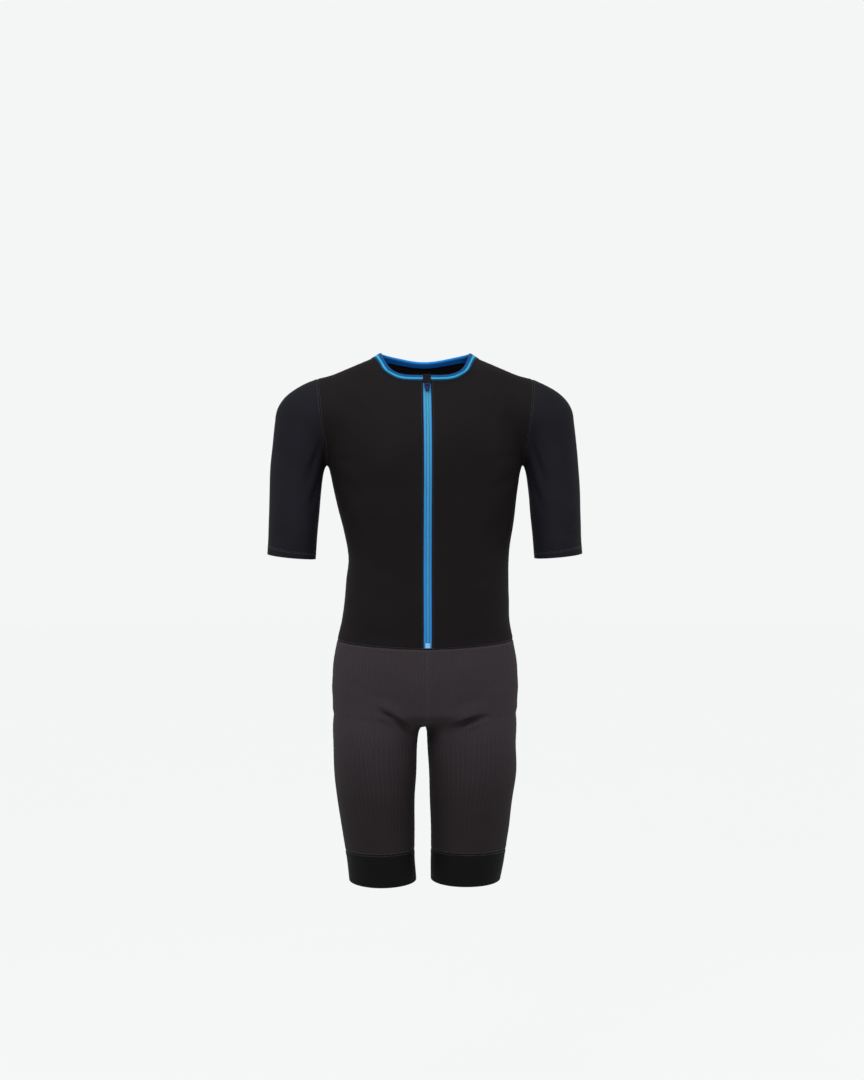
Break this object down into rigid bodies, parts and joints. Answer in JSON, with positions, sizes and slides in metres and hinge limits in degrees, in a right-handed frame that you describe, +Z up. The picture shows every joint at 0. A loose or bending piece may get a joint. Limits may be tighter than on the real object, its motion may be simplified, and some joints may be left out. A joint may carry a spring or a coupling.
{
  "type": "triathlon suit",
  "caption": "Short-sleeved triathlon suit with a front zip, bound neck, ribbed shorts sewn on at the waist and wide leg grippers, in its hollow worn shape",
  "frame": {"origin": "middle of the neck opening, level with the shoulder seams at the neck, where the wearer's shoulders hold the suit", "axes": "+Z up, front faces -Y, +X is the wearer's left"},
  "size_m": [0.5502, 0.2338, 0.9241],
  "materials": {
    "knit_black": "matt stretch knit",
    "rib_grey": "matt stretch knit with fine upright ribs",
    "gripper_black": "dense elastic band",
    "binding_blue": "smooth folded elastic",
    "zip_blue": "woven zip tape",
    "chain_blue": "nylon coil",
    "slider_navy": "satin enamel",
    "stop_pale": "satin moulded"
  },
  "bodies": {
    "suit": {"front_left": "knit_black", "front_right": "knit_black", "back": "knit_black", "sleeve_left": "knit_black", "sleeve_right": "knit_black", "zip_garage": "knit_black", "shorts_front_left": "rib_grey", "shorts_front_right": "rib_grey", "shorts_back_left": "rib_grey", "shorts_back_right": "rib_grey", "leg_gripper_left": "gripper_black", "leg_gripper_right": "gripper_black", "neck_binding": "binding_blue", "zip_tape_left": "zip_blue", "zip_tape_right": "zip_blue", "zip_chain": "chain_blue", "zip_slider": "slider_navy", "zip_bottom_stop": "stop_pale"},
    "pull_tab": {"zip_pull_tab": "slider_navy"}
  },
  "joints": [
    {"name": "pull_tab_hinge", "type": "hinge", "parent": "suit", "child": "pull_tab", "pos_m": [0, -0.07619, -0.05166], "axis": [-1, 0, 0], "range_deg": [0, 170]}
  ]
}
